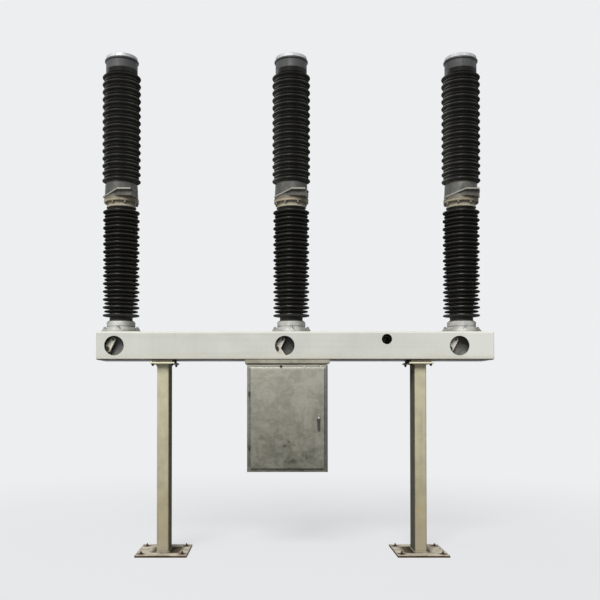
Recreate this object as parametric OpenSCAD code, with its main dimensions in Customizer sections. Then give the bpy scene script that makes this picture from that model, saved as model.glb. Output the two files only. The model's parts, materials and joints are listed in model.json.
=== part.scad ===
// Outdoor live-tank high-voltage circuit breaker: three porcelain poles on one
// box beam, carried by two legs, with the operating-mechanism cabinet under the beam.
// Units are millimetres. X runs along the beam, Y away from the door side, Z up.
// The origin is on the ground at the middle of the footprint.

/* [Stand] */
// Width of a base plate along the beam
plate_w = 500; // [400:10:600]
// Depth of a base plate across the beam
plate_d = 584; // [584:2:700]
// Thickness of a base plate
plate_t = 18; // [12:1:30]
// Anchor bolt spacing along the beam
anchor_pitch_x = 400; // [300:5:440]
// Anchor bolt spacing across the beam
anchor_pitch_y = 400; // [340:5:520]
// Diameter of an anchor bolt hole
anchor_d = 28; // [18:1:36]
// Distance between the two legs, centre to centre
leg_pitch = 2526; // [2000:2:2800]
// Width of the leg tube, seen from the door side
leg_w = 118; // [90:1:160]
// Depth of the leg tube
leg_d = 262; // [200:1:320]
// Wall of the leg tube
leg_wall = 8; // [5:0.5:12]
// Outer corner radius of the leg tube
leg_corner = 14; // [12:1:30]
// Width of the head plate that closes the top of a leg
head_w = 240; // [190:5:300]
// Depth of the head plate
head_d = 420; // [340:5:470]
// Thickness of the head plate
head_t = 14; // [10:1:24]
// Thickness of the packing between the head plate and the beam
packing_t = 22; // [10:1:30]
// Height of the underside of the beam above the ground
stand_h = 1900; // [1600:10:2300]

/* [Beam] */
// Height of the box beam
beam_h = 276; // [250:2:320]
// Depth of the box beam
beam_d = 480; // [460:5:500]
// Plate thickness of the box beam
beam_wall = 8; // [5:0.5:12]
// Outer bend radius of the long edges of the beam
beam_bend = 20; // [14:1:22]
// Beam end beyond the left pole axis
overhang_left = 195; // [193:1:400]
// Beam end beyond the right pole axis
overhang_right = 255; // [193:1:400]
// Diameter of the access hole in front of each crank
access_d = 190; // [160:2:200]
// Left access hole centre, left of its pole axis
access_left = 24; // [15:1:35]
// Middle access hole centre, left of its pole axis
access_middle = 70; // [55:1:80]
// Right access hole centre, left of its pole axis
access_right = 76; // [60:1:85]
// Access hole centre above the underside of the beam
access_rise = 136; // [125:1:145]
// Diameter of the inspection hole
inspection_d = 100; // [60:2:104]
// Inspection hole centre, right of the middle pole axis
inspection_x = 920; // [700:5:1100]
// Inspection hole centre below the top of the beam
inspection_drop = 77; // [76:1:120]

/* [Crank] */
// Crank shaft left of its access hole centre
shaft_shift = 80; // [70:1:90]
// Crank shaft above the underside of the beam
shaft_rise = 111; // [105:1:118]
// Diameter of the crank shaft
shaft_d = 50; // [40:1:60]
// Gap between a pin or shaft and its bore, on the radius
running_gap = 0.3; // [0.1:0.05:0.5]
// Sideways reach of the crank arm to its pin
arm_x = 60; // [50:1:65]
// Upward reach of the crank arm to its pin
arm_z = 90; // [80:1:95]
// Thickness of a crank arm
arm_t = 22; // [14:1:28]
// Diameter of the round pin eye of an arm
eye_d = 46; // [40:1:52]
// Diameter of the pin through the eye
eye_pin_d = 26; // [18:1:30]
// Width of the gear case under the beam top
case_w = 290; // [280:2:310]
// Depth of the gear case
case_d = 226; // [200:2:250]
// Height of the gear case
case_h = 236; // [222:2:244]

/* [Poles] */
// Distance between pole axes
pole_pitch = 1700; // [1500:10:2000]
// Diameter of the round foot of a pole's base flange
base_foot_d = 385; // [380:1:388]
// Thickness of that foot
base_foot_t = 24; // [18:1:40]
// Diameter of the coned hub on the foot
base_hub_d = 318; // [300:2:324]
// Height of the coned hub
base_hub_h = 38; // [28:1:50]
// Bolt circle of the hub
base_pcd = 326; // [320:1:330]
// Diameter of a bolt boss of the hub
base_boss_d = 44; // [36:1:48]
// Height of a bolt boss
base_boss_h = 16; // [10:1:20]
// Number of bolt bosses round the hub
base_bosses = 4; // [4:2:12]
// Diameter of the collar of the base flange
base_collar_d = 282; // [270:2:286]
// Height of the collar of the base flange
base_collar_h = 48; // [40:1:80]
// Radius of the rounded rim of a large weather shed
shed_rim_r = 7; // [4:0.5:7.5]
// Rise of the upper face of a weather shed from its rim to its root
shed_rise = 8; // [4:0.5:8]
// Diameter of the porcelain core of the support insulator
support_core_d = 228; // [200:2:260]
// Diameter of the large sheds of the support insulator
support_shed_d = 363; // [340:1:380]
// Diameter of the small sheds of the support insulator
support_small_d = 334; // [300:1:338]
// Distance between two large sheds of the support insulator
support_pitch = 79.2; // [74:0.1:90]
// Number of large sheds of the support insulator
support_sheds = 14; // [10:1:18]
// Plain porcelain below the lowest shed of the support insulator
support_foot = 62; // [36:1:80]
// Plain porcelain above the highest shed of the support insulator
support_plain = 44; // [38:1:60]
// Diameter of the neck of the flange on top of the support insulator
neck_d = 284; // [266:2:300]
// Height of that neck
neck_h = 48; // [36:1:60]
// Diameter of the bolted rim between support and interrupter
rim_d = 343; // [338:1:350]
// Thickness of each half of the bolted rim
rim_t = 22; // [18:1:30]
// Diameter of the lower terminal housing at its foot
housing_foot_d = 333; // [324:1:336]
// Diameter of the lower terminal housing at its top
housing_top_d = 319; // [314:1:322]
// Height of the lower terminal housing above its rim
housing_h = 142; // [120:1:160]
// Thickness of a terminal pad
pad_t = 14; // [12:1:24]
// Underside of the lower terminal pad above the rim
pad_rise = 52; // [40:1:64]
// Front edge of the lower terminal pad, from the pole axis
pad_reach = 222; // [214:1:240]
// Width of the front edge of the lower terminal pad
pad_front_w = 130; // [110:1:140]
// Bolt hole spacing of a terminal pad
pad_pitch = 50; // [40:1:50]
// Bolt hole diameter of a terminal pad
pad_hole_d = 14; // [11:0.5:18]
// Diameter of the porcelain core of the interrupter
chamber_core_d = 296; // [280:2:304]
// Diameter of the large sheds of the interrupter
chamber_shed_d = 380; // [370:1:386]
// Diameter of the small sheds of the interrupter
chamber_small_d = 347; // [330:1:352]
// Distance between two large sheds of the interrupter
chamber_pitch = 74; // [70:0.1:84]
// Number of large sheds of the interrupter
chamber_sheds = 15; // [11:1:18]
// Plain porcelain below the lowest shed of the interrupter
chamber_plain = 38; // [34:1:60]
// Height of the smooth collar above the highest shed of the interrupter
chamber_collar_h = 72; // [50:1:90]
// Diameter of that collar and of the cap above it
cap_d = 313; // [308:1:326]
// Height of the cap below its lip
cap_h = 82; // [50:1:90]
// Diameter of the lip round the top of the cap
lip_d = 336; // [332:1:350]
// Height of the lip of the cap
lip_h = 18; // [14:1:34]
// Diameter of the upper terminal disc
disc_d = 312; // [290:1:326]
// Thickness of the upper terminal disc
disc_t = 36; // [24:1:44]
// Bolt hole circle of the upper terminal disc
disc_pcd = 200; // [160:2:240]

/* [Cabinet] */
// Cabinet centre left of the middle pole axis
cabinet_shift = 45; // [0:1:80]
// Width of the cabinet
cabinet_w = 780; // [740:2:820]
// Depth of the cabinet body
cabinet_d = 490; // [420:2:520]
// Height of the cabinet body
cabinet_h = 1034; // [960:2:1100]
// Front face of the cabinet frame, in front of the beam centre line
cabinet_front = 245; // [240:1:248]
// Sheet thickness of the cabinet
sheet_t = 4; // [2:0.5:6]
// Width of the frame strips round the door
frame_strip = 34; // [30:1:40]
// Overlap of the door on the frame strip
door_lap = 6; // [2:1:10]
// Height of the recessed neck between cabinet roof and hood
hood_neck_h = 16; // [10:1:24]
// Height of the hood that hangs the cabinet on the beam
hood_h = 36; // [24:1:48]
// Overhang of the hood past the cabinet body
hood_lap = 20; // [10:1:26]
// Clearance between the door and the frame
door_gap = 5; // [5:0.5:6]
// Thickness of the door
door_t = 20; // [16:1:22]
// Chamfer round the front of the door
door_chamfer = 5; // [2:0.5:6]
// Hinge height above and below the middle of the door
hinge_rise = 260; // [200:5:380]
// Diameter of a hinge knuckle
knuckle_d = 14; // [12:0.5:15]
// Diameter of a hinge pin
hinge_pin_d = 7; // [5:0.5:8]
// Length of each half of a hinge
knuckle_l = 46; // [36:1:60]
// Handle pivot from the right edge of the door
handle_inset = 58; // [50:1:80]
// Handle pivot above the middle of the door
handle_rise = 9; // [-60:1:60]
// Length of the handle below its pivot
handle_l = 128; // [90:1:150]
// Width of the handle at its pivot
handle_w = 26; // [20:1:28]
// Width of the handle at its tip
handle_tip_w = 15; // [10:1:18]
// Thickness of the handle
handle_t = 11; // [8:0.5:12]
// Diameter of the handle shaft
handle_shaft_d = 14; // [10:0.5:16]

/* [Hidden] */
$fn = 96;

// Places along the beam
beam_l = 2 * pole_pitch + overhang_left + overhang_right;
pole_left_x = overhang_left - beam_l / 2;
pole_middle_x = pole_left_x + pole_pitch;
pole_right_x = pole_middle_x + pole_pitch;
leg_left_x = pole_middle_x - leg_pitch / 2;
leg_right_x = pole_middle_x + leg_pitch / 2;
poles_x = [pole_left_x, pole_middle_x, pole_right_x];
cabinet_x = pole_middle_x - cabinet_shift;
access_left_x = pole_left_x - access_left;
access_middle_x = pole_middle_x - access_middle;
access_right_x = pole_right_x - access_right;

// Heights from the ground up
leg_z = plate_t;
beam_z = stand_h;
beam_top_z = beam_z + beam_h;
base_flange_z = beam_top_z;
support_z = base_flange_z + base_foot_t + base_hub_h + base_collar_h;
support_h = support_foot + (support_sheds - 1) * support_pitch + support_plain;
head_z = support_z + support_h;
rim_z = head_z + neck_h + rim_t;
chamber_z = rim_z + rim_t + housing_h;
chamber_h = chamber_plain + (chamber_sheds - 1) * chamber_pitch + chamber_collar_h;
cap_z = chamber_z + chamber_h;
disc_z = cap_z + cap_h + lip_h;

// Left end of the front edge of the lower terminal pad, from the pole axis
pad_left = -2;

// Crank: the arm lies between the gear case and the front plate of the beam
shaft_z = beam_z + shaft_rise;
case_bottom_z = beam_top_z - beam_wall - case_h;
case_front_y = -case_d / 2;
boss_d = shaft_d + 36;
boss_l = 36;
arm_clear = 5;
arm_back_y = case_front_y - boss_l - arm_clear;
shaft_depth = 90;
bore_relief = 5;
eye_lug = 10;
drive_arm_x = 68;
drive_arm_z = -75;

// Cabinet, from the hood down
hood_z = beam_z - hood_h;
cabinet_top_z = hood_z - hood_neck_h;
cabinet_z = cabinet_top_z - cabinet_h;
frame_y = -cabinet_front;
cabinet_back_y = frame_y + cabinet_d;
door_w = cabinet_w - 2 * frame_strip + 2 * door_lap - 9;
door_h = cabinet_h - 2 * frame_strip + 2 * door_lap - 13;
door_back_y = frame_y - door_gap;
door_front_y = door_back_y - door_t;
door_left_x = cabinet_x - door_w / 2;
door_mid_z = cabinet_z + cabinet_h / 2;
hinge_x = door_left_x - knuckle_d / 2 - door_gap;
hinge_y = door_back_y - door_t / 2;
hinges_z = [door_mid_z + hinge_rise, door_mid_z - hinge_rise];
handle_x = door_left_x + door_w - handle_inset;
handle_z = door_mid_z + handle_rise;
rosette_t = 3;
handle_back_y = door_front_y - rosette_t - arm_clear;

// One rounded bar outline along X and Y, centred
module rounded_rect(w, d, r) {
  square([w - 2 * r, d], center = true);
  square([w, d - 2 * r], center = true);
  for (sx = [-1, 1], sy = [-1, 1])
    translate([sx * (w / 2 - r), sy * (d / 2 - r)]) circle(r = r);
}

// Anchored base plate of a leg
module base_plate(x) {
  color("#c6bda6")
    translate([x, 0, 0])
      difference() {
        translate([-plate_w / 2, -plate_d / 2, 0]) cube([plate_w, plate_d, plate_t]);
        for (sx = [-1, 1], sy = [-1, 1])
          translate([sx * anchor_pitch_x / 2, sy * anchor_pitch_y / 2, -1])
            cylinder(d = anchor_d, h = plate_t + 2);
      }
}

// Rectangular tube leg with its welded head plate and the packing under the beam
module leg(x) {
  tube_h = stand_h - plate_t - head_t - packing_t;
  packing_inset = 22;
  color("#bcb498")
    translate([x, 0, leg_z]) {
      linear_extrude(tube_h)
        difference() {
          rounded_rect(leg_w, leg_d, leg_corner);
          rounded_rect(leg_w - 2 * leg_wall, leg_d - 2 * leg_wall, leg_corner - leg_wall);
        }
      translate([-head_w / 2, -head_d / 2, tube_h]) cube([head_w, head_d, head_t]);
      translate([packing_inset - head_w / 2, packing_inset - head_d / 2, tube_h + head_t])
        cube([head_w - 2 * packing_inset, head_d - 2 * packing_inset, packing_t]);
    }
}

// Side channel of the beam: a web whose long edges are bent round to meet the two flange plates
module bent_channel() {
  translate([-beam_l / 2, 0, beam_z + beam_h / 2])
    rotate([90, 0, 90])
      linear_extrude(beam_l)
        intersection() {
          difference() {
            rounded_rect(beam_d, beam_h, beam_bend);
            rounded_rect(beam_d - 2 * beam_wall, beam_h - 2 * beam_wall, beam_bend - beam_wall);
          }
          translate([-beam_d / 2, -beam_h / 2]) square([beam_bend, beam_h]);
        }
}

// Front channel of the beam with its access holes
module beam_front() {
  color("#d0cdc3")
    difference() {
      bent_channel();
      for (x = [access_left_x, access_middle_x, access_right_x])
        translate([x, 1 - beam_d / 2 + beam_wall, beam_z + access_rise])
          rotate([90, 0, 0]) cylinder(d = access_d, h = beam_wall + 2);
      translate([pole_middle_x + inspection_x, 1 - beam_d / 2 + beam_wall, beam_top_z - inspection_drop])
        rotate([90, 0, 0]) cylinder(d = inspection_d, h = beam_wall + 2);
    }
}

// Rear channel of the beam
module beam_rear() {
  color("#d0cdc3")
    rotate([0, 0, 180]) bent_channel();
}

// Flange plate of the beam, welded between the two channels
module flange_plate(z) {
  plate_w = beam_d - 2 * beam_bend;
  translate([-beam_l / 2, -plate_w / 2, z]) cube([beam_l, plate_w, beam_wall]);
}

// Top flange plate of the beam, with one rod opening under each pole
module beam_top() {
  rod_opening_d = 120;
  color("#d6d3ca")
    difference() {
      flange_plate(beam_top_z - beam_wall);
      for (x = poles_x)
        translate([x, 0, beam_top_z - beam_wall - 1]) cylinder(d = rod_opening_d, h = beam_wall + 2);
    }
}

// Bottom flange plate of the beam
module beam_bottom() {
  color("#b8b5ab")
    flange_plate(beam_z);
}

// End plate of the beam, set in between its four sides
module beam_end(s) {
  color("#d0cdc3")
    translate([s * (beam_l - beam_wall) / 2 - beam_wall / 2, 0, beam_z + beam_h / 2])
      rotate([90, 0, 90])
        linear_extrude(beam_wall)
          rounded_rect(beam_d - 2 * beam_wall, beam_h - 2 * beam_wall, beam_bend - beam_wall);
}

// Cast gear case bolted under the beam top, with the bearing boss of the crank shaft
module gear_case(x) {
  case_corner = 24;
  case_left = shaft_shift + boss_d / 2 + 6;
  color("#8c8e8a")
    difference() {
      union() {
        translate([x - case_left + case_w / 2, 0, case_bottom_z])
          linear_extrude(case_h) rounded_rect(case_w, case_d, case_corner);
        translate([x - shaft_shift, case_front_y + 1, shaft_z])
          rotate([90, 0, 0]) cylinder(d = boss_d, h = boss_l + 1);
      }
      translate([x - shaft_shift, case_front_y + shaft_depth, shaft_z])
        rotate([90, 0, 0]) cylinder(d = shaft_d + 2 * running_gap, h = shaft_depth + boss_l + 1);
    }
}

// Outline of a bar with a round end at the origin and another along +X, joined by tangents
module link_outline(near_d, far_d, length) {
  lean = asin((near_d - far_d) / 2 / length);
  near = [near_d / 2 * sin(lean), near_d / 2 * cos(lean)];
  far = [length + far_d / 2 * sin(lean), far_d / 2 * cos(lean)];
  circle(d = near_d);
  translate([length, 0]) circle(d = far_d);
  polygon([near, far, [far.x, -far.y], [near.x, -near.y]]);
}

// One arm of a crank, from its hub on the shaft to the eye with its pin
module crank_arm(dx, dz) {
  hub_d = shaft_d + 24;
  rotate([90, 0, 0])
    linear_extrude(arm_t)
      rotate(atan2(dz, dx)) link_outline(hub_d, eye_d, norm([dx, dz]));
  translate([dx, eye_lug / 2, dz]) rotate([90, 0, 0]) cylinder(d = eye_pin_d, h = arm_t + eye_lug);
}

// Forged crank on its shaft; the middle one has a second arm to the drive
module crank(x, has_drive_arm = false) {
  color("#cfccc2")
    translate([x - shaft_shift, arm_back_y, shaft_z]) {
      crank_arm(arm_x, arm_z);
      if (has_drive_arm)
        crank_arm(drive_arm_x, drive_arm_z);
      translate([0, boss_l + arm_clear + shaft_depth - bore_relief, 0])
        rotate([90, 0, 0])
          cylinder(d = shaft_d, h = boss_l + arm_clear + shaft_depth - bore_relief + arm_t + eye_lug);
    }
}

// Cast aluminium base flange of a pole: round foot with bolt bosses, coned hub and collar
module base_flange(x) {
  edge = 6;
  collar_z = base_foot_t + base_hub_h;
  color("#c8cac8")
    translate([x, 0, base_flange_z]) {
      cylinder(d = base_foot_d, h = base_foot_t);
      for (i = [0 : base_bosses - 1])
        rotate([0, 0, i * 360 / base_bosses])
          translate([base_pcd / 2, 0, base_foot_t]) cylinder(d = base_boss_d, h = base_boss_h);
      rotate_extrude()
        polygon([
          [0, 0],
          [base_hub_d / 2, 0],
          [base_hub_d / 2, base_foot_t + edge],
          [base_collar_d / 2 - edge, collar_z],
          [base_collar_d / 2, collar_z],
          [base_collar_d / 2, collar_z + base_collar_h - edge],
          [base_collar_d / 2 - edge, collar_z + base_collar_h],
          [0, collar_z + base_collar_h]
        ]);
    }
}

// Half outline of one weather shed: root below, rounded rim, root above
function shed_outline(core_r, tip_r, z, rim_r) =
  let (drop = 2, root_r = 5, low = z - rim_r - drop, high = z + rim_r + shed_rise)
    concat(
      [[core_r, low - root_r], [core_r + 0.3 * root_r, low - 0.3 * root_r], [core_r + root_r, low]],
      [for (a = [-80 : 40 : 80]) [tip_r - rim_r + rim_r * cos(a), z + rim_r * sin(a)]],
      [[core_r + root_r, high], [core_r + 0.3 * root_r, high + 0.3 * root_r], [core_r, high + root_r]]
    );

// Porcelain insulator: large sheds with one small shed in each space between them
module shed_insulator(core_d, shed_d, small_d, pitch, count, first_z, top_d, top_z) {
  small_rim_r = 0.85 * shed_rim_r;
  sheds = [for (i = [0 : 2 * count - 2])
    let (large = i % 2 == 0)
      each shed_outline(core_d / 2, (large ? shed_d : small_d) / 2, first_z + i * pitch / 2,
        large ? shed_rim_r : small_rim_r)];
  collar_z = first_z + (count - 1) * pitch + shed_rim_r + shed_rise + 9;
  rotate_extrude()
    polygon(concat(
      [[0, 0], [core_d / 2, 0]],
      sheds,
      [[core_d / 2, collar_z - 2], [top_d / 2, collar_z + 4], [top_d / 2, top_z], [0, top_z]]
    ));
}

// Support insulator between the beam and the lower terminal
module support_insulator(x) {
  color("#1d1a17")
    translate([x, 0, support_z])
      shed_insulator(support_core_d, support_shed_d, support_small_d, support_pitch, support_sheds,
        support_foot, support_core_d + 10, support_h);
}

// Flange cemented on top of the support insulator
module support_head(x) {
  edge = 5;
  foot_lip_h = 9;
  color("#867658")
    translate([x, 0, head_z])
      rotate_extrude()
        polygon([
          [0, 0],
          [neck_d / 2 + edge, 0],
          [neck_d / 2 + edge, foot_lip_h],
          [neck_d / 2, foot_lip_h + edge],
          [neck_d / 2, neck_h - edge],
          [neck_d / 2 + edge, neck_h],
          [rim_d / 2 - edge, neck_h],
          [rim_d / 2, neck_h + edge],
          [rim_d / 2, neck_h + rim_t],
          [0, neck_h + rim_t]
        ]);
}

// Outline of the terminal bracket from above: a front edge and two sides that run back to the housing
module bracket_plan(reach, side_x) {
  side_y = 75;
  root_x = 120;
  polygon([
    [pad_left, -reach],
    [pad_left + pad_front_w, -reach],
    [side_x, -side_y],
    [root_x, 0],
    [-root_x, 0],
    [-side_x, -side_y]
  ]);
}

// Lower terminal housing with its bracket; the bracket's top slopes down at the left, under a lip
// that carries the connection bolts in front
module lower_terminal(x) {
  edge = 4;
  lip_out = 32;
  side_x = housing_foot_d / 2 + 5;
  pad_z = rim_t + pad_rise;
  slope_foot = 2;
  hole_x = pad_left + pad_front_w / 2;
  hole_y = pad_hole_d + 2 - pad_reach;
  color("#7c7d78")
    translate([x, 0, rim_z])
      difference() {
        union() {
          rotate_extrude()
            polygon([
              [0, 0],
              [rim_d / 2, 0],
              [rim_d / 2, rim_t - edge],
              [rim_d / 2 - edge, rim_t],
              [housing_foot_d / 2, rim_t],
              [housing_top_d / 2, rim_t + housing_h - edge],
              [housing_top_d / 2 - edge, rim_t + housing_h],
              [0, rim_t + housing_h]
            ]);
          intersection() {
            translate([0, 0, rim_t - 1])
              linear_extrude(pad_rise + pad_t) bracket_plan(pad_reach - lip_out, side_x - edge);
            rotate([90, 0, 0])
              linear_extrude(pad_reach)
                polygon([
                  [-side_x, rim_t - 1],
                  [-side_x, rim_t + slope_foot + edge],
                  [pad_left, pad_z + edge],
                  [side_x, pad_z + edge],
                  [side_x, rim_t - 1]
                ]);
          }
          intersection() {
            translate([0, 0, rim_t])
              linear_extrude(pad_rise + pad_t) bracket_plan(pad_reach, side_x);
            rotate([90, 0, 0])
              linear_extrude(pad_reach)
                polygon([
                  [-side_x, rim_t + slope_foot],
                  [-side_x, rim_t + slope_foot + pad_t],
                  [pad_left, pad_z + pad_t],
                  [side_x, pad_z + pad_t],
                  [side_x, pad_z],
                  [pad_left, pad_z]
                ]);
          }
        }
        for (sx = [-1, 1])
          translate([hole_x + sx * pad_pitch / 2, hole_y, pad_z - 1])
            cylinder(d = pad_hole_d, h = pad_t + 2);
      }
}

// Interrupter chamber in its porcelain
module interrupter(x) {
  color("#1b1917")
    translate([x, 0, chamber_z])
      shed_insulator(chamber_core_d, chamber_shed_d, chamber_small_d, chamber_pitch, chamber_sheds,
        chamber_plain, cap_d, chamber_h);
}

// Cast cap that closes the interrupter, with a lip round its top
module top_cap(x) {
  edge = 4;
  color("#5c5e60")
    translate([x, 0, cap_z])
      rotate_extrude()
        polygon([
          [0, 0],
          [cap_d / 2, 0],
          [cap_d / 2, cap_h - edge],
          [lip_d / 2 - edge, cap_h],
          [lip_d / 2, cap_h + edge],
          [lip_d / 2, cap_h + lip_h - edge],
          [lip_d / 2 - edge, cap_h + lip_h],
          [0, cap_h + lip_h]
        ]);
}

// Upper terminal disc with its ring of tapped holes
module upper_terminal(x) {
  edge = 5;
  holes = 4;
  color("#d9dadb")
    translate([x, 0, disc_z])
      difference() {
        rotate_extrude()
          polygon([
            [0, 0],
            [disc_d / 2, 0],
            [disc_d / 2, disc_t - edge],
            [disc_d / 2 - edge, disc_t],
            [0, disc_t]
          ]);
        for (i = [0 : holes - 1])
          rotate([0, 0, 45 + i * 360 / holes])
            translate([disc_pcd / 2, 0, -1]) cylinder(d = pad_hole_d, h = disc_t + 2);
      }
}

// Roof of the cabinet: a hood plate under the beam and the recessed neck below it
module cabinet_hood() {
  hood_w = cabinet_w + 2 * hood_lap;
  hood_front = cabinet_front + 5;
  hood_d = cabinet_d + 5 + hood_lap;
  neck_inset = 12;
  color("#b9b7ad") {
    translate([cabinet_x - hood_w / 2, -hood_front, hood_z]) cube([hood_w, hood_d, hood_h]);
    translate([cabinet_x - cabinet_w / 2 + neck_inset, frame_y + neck_inset, cabinet_top_z])
      cube([cabinet_w - 2 * neck_inset, cabinet_d - 2 * neck_inset, hood_neck_h]);
    translate([cabinet_x - cabinet_w / 2, frame_y, cabinet_top_z - sheet_t])
      cube([cabinet_w, cabinet_d, sheet_t]);
  }
}

// Back sheet of the cabinet
module cabinet_back() {
  color("#8f8d82")
    translate([cabinet_x - cabinet_w / 2, cabinet_back_y - sheet_t, cabinet_z + sheet_t])
      cube([cabinet_w, sheet_t, cabinet_h - 2 * sheet_t]);
}

// Side sheet of the cabinet
module cabinet_side(s) {
  color("#8f8d82")
    translate([
      cabinet_x + s * (cabinet_w - sheet_t) / 2 - sheet_t / 2,
      frame_y + sheet_t,
      cabinet_z + sheet_t
    ])
      cube([sheet_t, cabinet_d - 2 * sheet_t, cabinet_h - 2 * sheet_t]);
}

// Floor sheet of the cabinet
module cabinet_floor() {
  color("#77756a")
    translate([cabinet_x - cabinet_w / 2, frame_y, cabinet_z]) cube([cabinet_w, cabinet_d, sheet_t]);
}

// Front frame round the door opening
module cabinet_frame() {
  color("#96948a")
    translate([cabinet_x, frame_y, cabinet_z + cabinet_h / 2])
      rotate([90, 0, 0])
        translate([0, 0, -sheet_t])
          linear_extrude(sheet_t)
            difference() {
              square([cabinet_w, cabinet_h - 2 * sheet_t], center = true);
              square([cabinet_w - 2 * frame_strip, cabinet_h - 2 * frame_strip], center = true);
            }
}

// Fixed hinge halves: a lug on the frame strip, its knuckle and the pin that the door hangs on
module cabinet_hinges() {
  lug_w = knuckle_d - 4;
  color("#6f6d64")
    for (z = hinges_z)
      translate([hinge_x, hinge_y, z]) {
        translate([0, 0, -knuckle_l]) cylinder(d = knuckle_d, h = knuckle_l);
        translate([-lug_w / 2, 0, -knuckle_l]) cube([lug_w, frame_y - hinge_y, knuckle_l]);
        translate([0, 0, -1]) cylinder(d = hinge_pin_d, h = knuckle_l - 4);
      }
}

// Outline of the door across one direction, chamfered at the front
module door_section(w) {
  polygon([
    [-w / 2, 0],
    [-w / 2, door_chamfer - door_t],
    [door_chamfer - w / 2, -door_t],
    [w / 2 - door_chamfer, -door_t],
    [w / 2, door_chamfer - door_t],
    [w / 2, 0]
  ]);
}

// Folded sheet of the door, hollow at the back
module door_pan() {
  skin = 4;
  difference() {
    intersection() {
      translate([0, 0, -door_h / 2]) linear_extrude(door_h) door_section(door_w);
      rotate([0, 90, 0]) translate([0, 0, -door_w / 2]) linear_extrude(door_w) door_section(door_h);
    }
    translate([skin - door_w / 2, skin - door_t, skin - door_h / 2])
      cube([door_w - 2 * skin, door_t, door_h - 2 * skin]);
  }
}

// Door with its hinge knuckles, the handle rosette and the bearing of the handle shaft
module cabinet_door() {
  rosette_w = 36;
  rosette_h = 60;
  hinge_leaf_t = 4;
  bearing_d = handle_shaft_d + 14;
  color("#96948a")
    difference() {
      union() {
        translate([cabinet_x, door_back_y, door_mid_z]) door_pan();
        translate([handle_x - rosette_w / 2, door_front_y - rosette_t, handle_z - rosette_h / 2])
          cube([rosette_w, rosette_t + 1, rosette_h]);
        translate([handle_x, door_back_y, handle_z])
          rotate([90, 0, 0]) cylinder(d = bearing_d, h = door_t - 2);
        for (z = hinges_z)
          translate([hinge_x, hinge_y, z + running_gap]) {
            cylinder(d = knuckle_d, h = knuckle_l);
            translate([0, -hinge_leaf_t / 2, 0])
              cube([knuckle_d / 2 + door_gap + 1, hinge_leaf_t, knuckle_l]);
          }
      }
      for (z = hinges_z)
        translate([hinge_x, hinge_y, z - 1]) cylinder(d = hinge_pin_d + 2 * running_gap, h = knuckle_l - 2);
      translate([handle_x, door_back_y + 1, handle_z])
        rotate([90, 0, 0]) cylinder(d = handle_shaft_d + 2 * running_gap, h = door_t + rosette_t + 2);
    }
}

// Swing handle on its shaft through the door
module door_handle() {
  color("#3b3a36") {
    translate([handle_x, handle_back_y, handle_z])
      rotate([90, 0, 0])
        linear_extrude(handle_t)
          rotate(-90) link_outline(handle_w, handle_tip_w, handle_l - handle_tip_w / 2);
    translate([handle_x, door_back_y, handle_z])
      rotate([90, 0, 0]) cylinder(d = handle_shaft_d, h = door_t + rosette_t + arm_clear + 2);
  }
}

base_plate(leg_left_x);  // base_plate_left
base_plate(leg_right_x);  // base_plate_right
leg(leg_left_x);  // leg_left
leg(leg_right_x);  // leg_right
beam_front();
beam_rear();
beam_top();
beam_bottom();
beam_end(-1);  // beam_end_left
beam_end(1);  // beam_end_right
gear_case(access_left_x);  // gear_case_left
gear_case(access_middle_x);  // gear_case_middle
gear_case(access_right_x);  // gear_case_right
crank(access_left_x);  // crank_left
crank(access_middle_x, has_drive_arm = true);  // crank_middle
crank(access_right_x);  // crank_right
base_flange(pole_left_x);  // base_flange_left
base_flange(pole_middle_x);  // base_flange_middle
base_flange(pole_right_x);  // base_flange_right
support_insulator(pole_left_x);  // support_insulator_left
support_insulator(pole_middle_x);  // support_insulator_middle
support_insulator(pole_right_x);  // support_insulator_right
support_head(pole_left_x);  // support_head_left
support_head(pole_middle_x);  // support_head_middle
support_head(pole_right_x);  // support_head_right
lower_terminal(pole_left_x);  // lower_terminal_left
lower_terminal(pole_middle_x);  // lower_terminal_middle
lower_terminal(pole_right_x);  // lower_terminal_right
interrupter(pole_left_x);  // interrupter_left
interrupter(pole_middle_x);  // interrupter_middle
interrupter(pole_right_x);  // interrupter_right
top_cap(pole_left_x);  // top_cap_left
top_cap(pole_middle_x);  // top_cap_middle
top_cap(pole_right_x);  // top_cap_right
upper_terminal(pole_left_x);  // upper_terminal_left
upper_terminal(pole_middle_x);  // upper_terminal_middle
upper_terminal(pole_right_x);  // upper_terminal_right
cabinet_hood();
cabinet_back();
cabinet_side(-1);  // cabinet_side_left
cabinet_side(1);  // cabinet_side_right
cabinet_floor();
cabinet_frame();
cabinet_hinges();
cabinet_door();
door_handle();
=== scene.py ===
import json
import math

import bmesh
import bpy
from mathutils import Matrix, Vector


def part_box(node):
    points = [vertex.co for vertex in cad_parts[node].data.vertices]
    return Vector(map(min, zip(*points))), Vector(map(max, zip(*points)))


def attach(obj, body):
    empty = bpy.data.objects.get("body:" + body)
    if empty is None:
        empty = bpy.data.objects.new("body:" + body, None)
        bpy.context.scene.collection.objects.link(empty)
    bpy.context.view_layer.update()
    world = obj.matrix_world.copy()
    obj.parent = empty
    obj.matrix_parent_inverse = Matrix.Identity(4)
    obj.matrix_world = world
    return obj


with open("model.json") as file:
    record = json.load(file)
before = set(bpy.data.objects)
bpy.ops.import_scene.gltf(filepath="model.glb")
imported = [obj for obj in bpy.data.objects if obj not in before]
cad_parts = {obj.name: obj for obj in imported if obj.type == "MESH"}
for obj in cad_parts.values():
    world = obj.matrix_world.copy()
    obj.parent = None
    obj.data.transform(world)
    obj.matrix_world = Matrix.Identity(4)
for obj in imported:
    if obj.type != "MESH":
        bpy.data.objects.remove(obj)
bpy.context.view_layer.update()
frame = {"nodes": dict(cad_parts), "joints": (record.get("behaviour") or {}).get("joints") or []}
solids = frame["nodes"]
scene = bpy.context.scene
scene.view_settings.view_transform = "Standard"


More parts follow.
